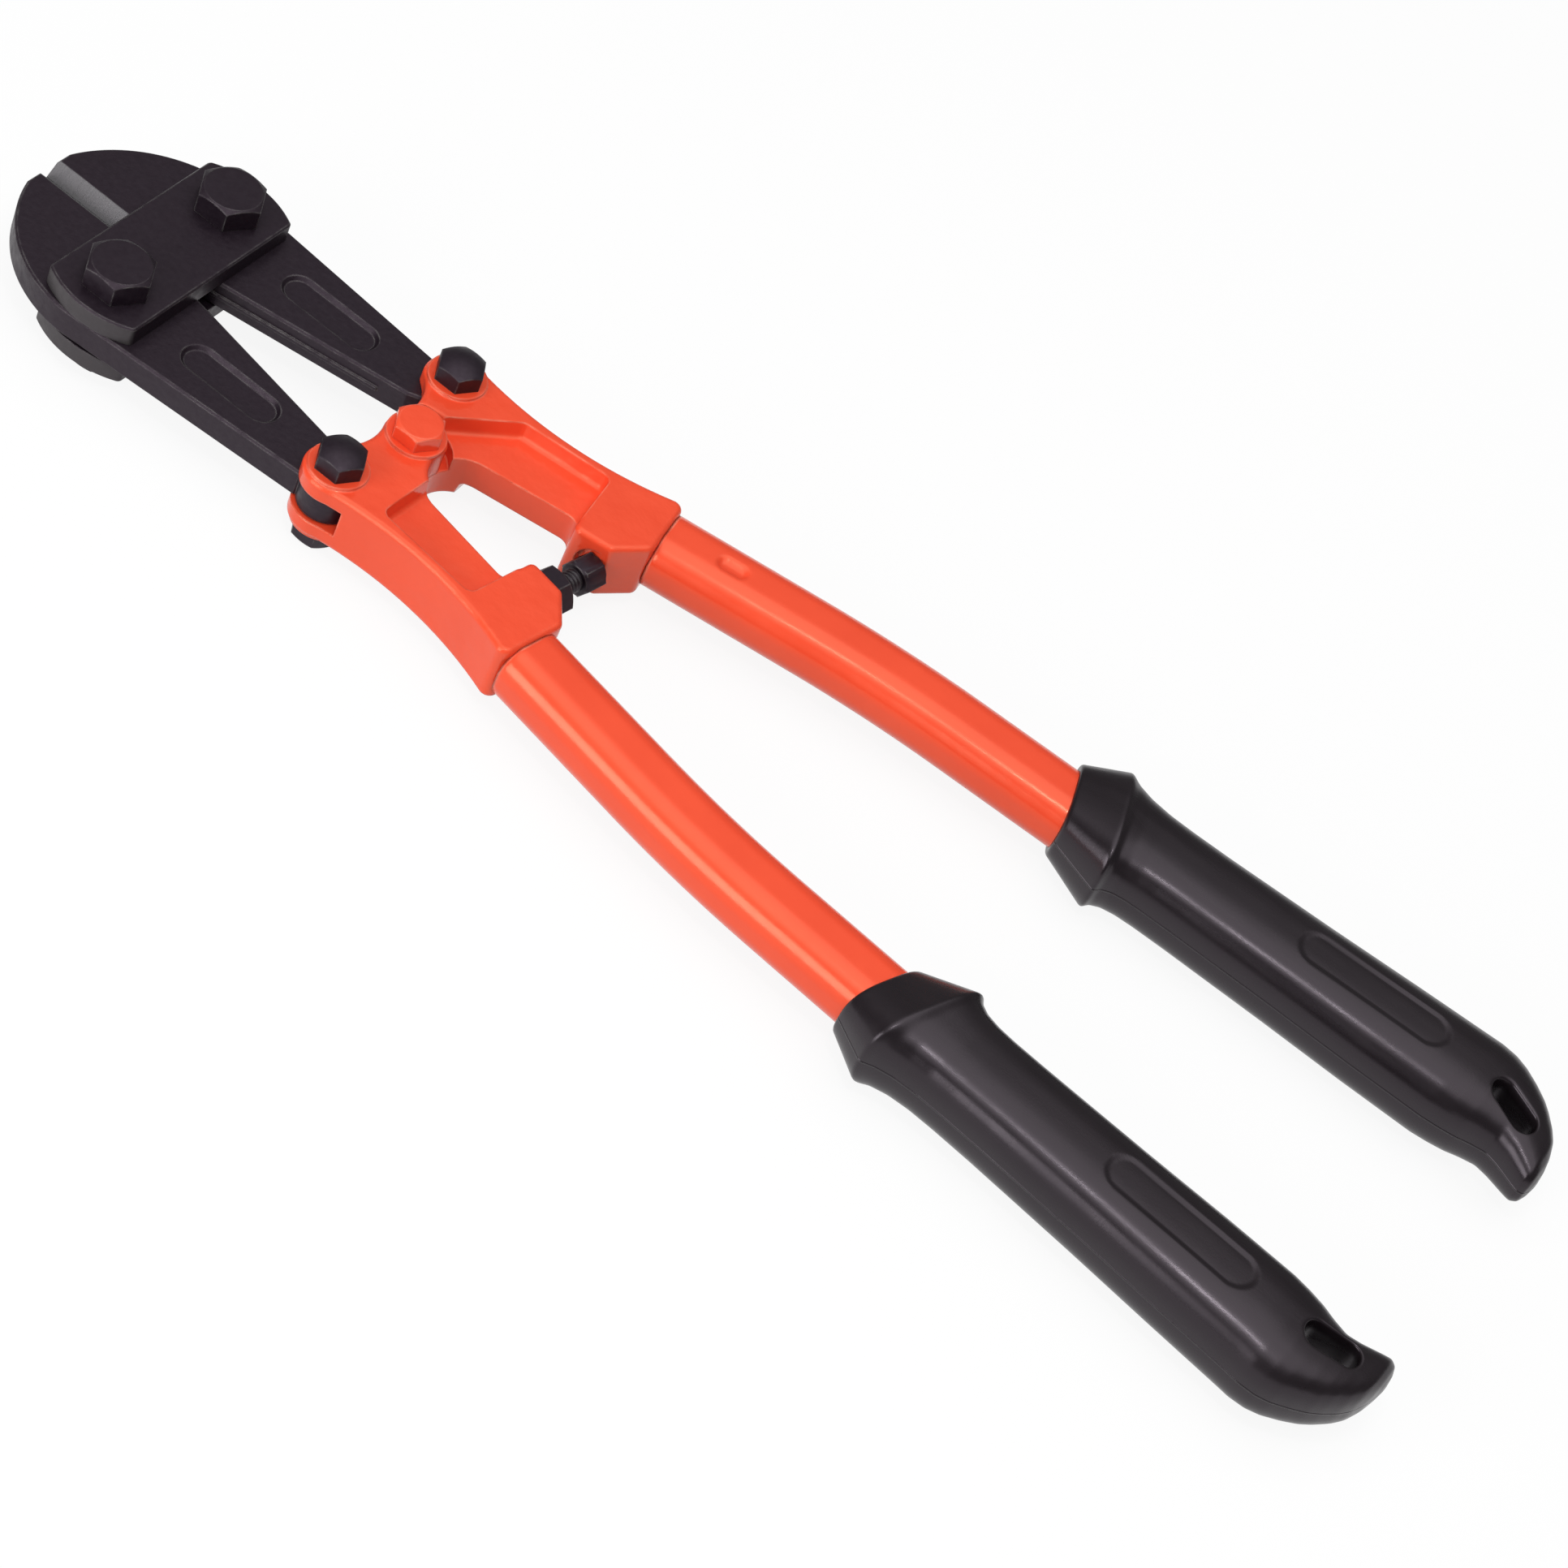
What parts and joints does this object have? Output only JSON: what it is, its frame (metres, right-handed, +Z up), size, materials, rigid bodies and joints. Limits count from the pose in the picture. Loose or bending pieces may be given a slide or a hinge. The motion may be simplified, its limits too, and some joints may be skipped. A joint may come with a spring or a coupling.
{
  "type": "bolt cutters",
  "caption": "Hand bolt cutters: beveled jaws in side plates, compound linkage, forged red forks with oval tube handles, flared black grips with hanging slots and an adjustable handle stop.",
  "frame": {"origin": "centre of the bounding box on the surface the tool lies on", "axes": "+X along the tool towards the jaws, +Z up from the surface, pivots along Z"},
  "size_m": [0.357, 0.1068, 0.0249],
  "materials": {
    "black_forged_steel": "black oxide, satin",
    "black_fastener_steel": "black oxide, satin",
    "red_enamel_forging": "gloss enamel over forged steel",
    "red_enamel_tube": "gloss enamel over drawn tube",
    "black_grip": "satin moulded vinyl"
  },
  "bodies": {
    "head": {"upper_side_plate": "black_forged_steel", "lower_side_plate": "black_forged_steel", "left_jaw_bolt": "black_fastener_steel", "right_jaw_bolt": "black_fastener_steel", "left_jaw_nut": "black_fastener_steel", "right_jaw_nut": "black_fastener_steel"},
    "left_jaw": {"left_jaw": "black_forged_steel"},
    "right_jaw": {"right_jaw": "black_forged_steel"},
    "left_handle": {"left_fork": "red_enamel_forging", "left_tube": "red_enamel_tube", "left_grip": "black_grip", "left_link_bolt": "black_fastener_steel", "left_link_nut": "black_fastener_steel", "centre_bolt": "red_enamel_forging", "centre_nut": "red_enamel_forging", "adjuster_lock_nut": "black_fastener_steel"},
    "right_handle": {"right_fork": "red_enamel_forging", "right_tube": "red_enamel_tube", "right_grip": "black_grip", "right_link_bolt": "black_fastener_steel", "right_link_nut": "black_fastener_steel"},
    "adjuster": {"adjuster_bolt": "black_fastener_steel"}
  },
  "joints": [
    {"name": "left_handle_pivot", "type": "hinge", "parent": "left_jaw", "child": "left_handle", "pos_m": [0.087, 0.0195, 0.012], "axis": [0, 0, -1], "range_deg": [0, 39.63]},
    {"name": "right_handle_pivot", "type": "hinge", "parent": "right_jaw", "child": "right_handle", "pos_m": [0.087, -0.0195, 0.012], "axis": [0, 0, 1], "range_deg": [0, 39.63]},
    {"name": "left_jaw_pivot", "type": "hinge", "parent": "head", "child": "left_jaw", "pos_m": [0.1465, 0.0174, 0.012], "axis": [0, 0, 1], "range_deg": [0, 5.64]},
    {"name": "right_jaw_pivot", "type": "hinge", "parent": "head", "child": "right_jaw", "pos_m": [0.1465, -0.0174, 0.012], "axis": [0, 0, -1], "range_deg": [0, 5.64]},
    {"name": "adjuster_screw", "type": "slide", "parent": "left_handle", "child": "adjuster", "axis": [0.1736, 0.9848, 0], "range_m": [0, 0.0018]}
  ],
  "couplings": [
    {"joint": "right_handle_pivot", "follows": "left_handle_pivot", "ratio": 1},
    {"joint": "left_jaw_pivot", "follows": "left_handle_pivot", "ratio": 0.14212},
    {"joint": "right_jaw_pivot", "follows": "left_handle_pivot", "ratio": 0.14212}
  ]
}
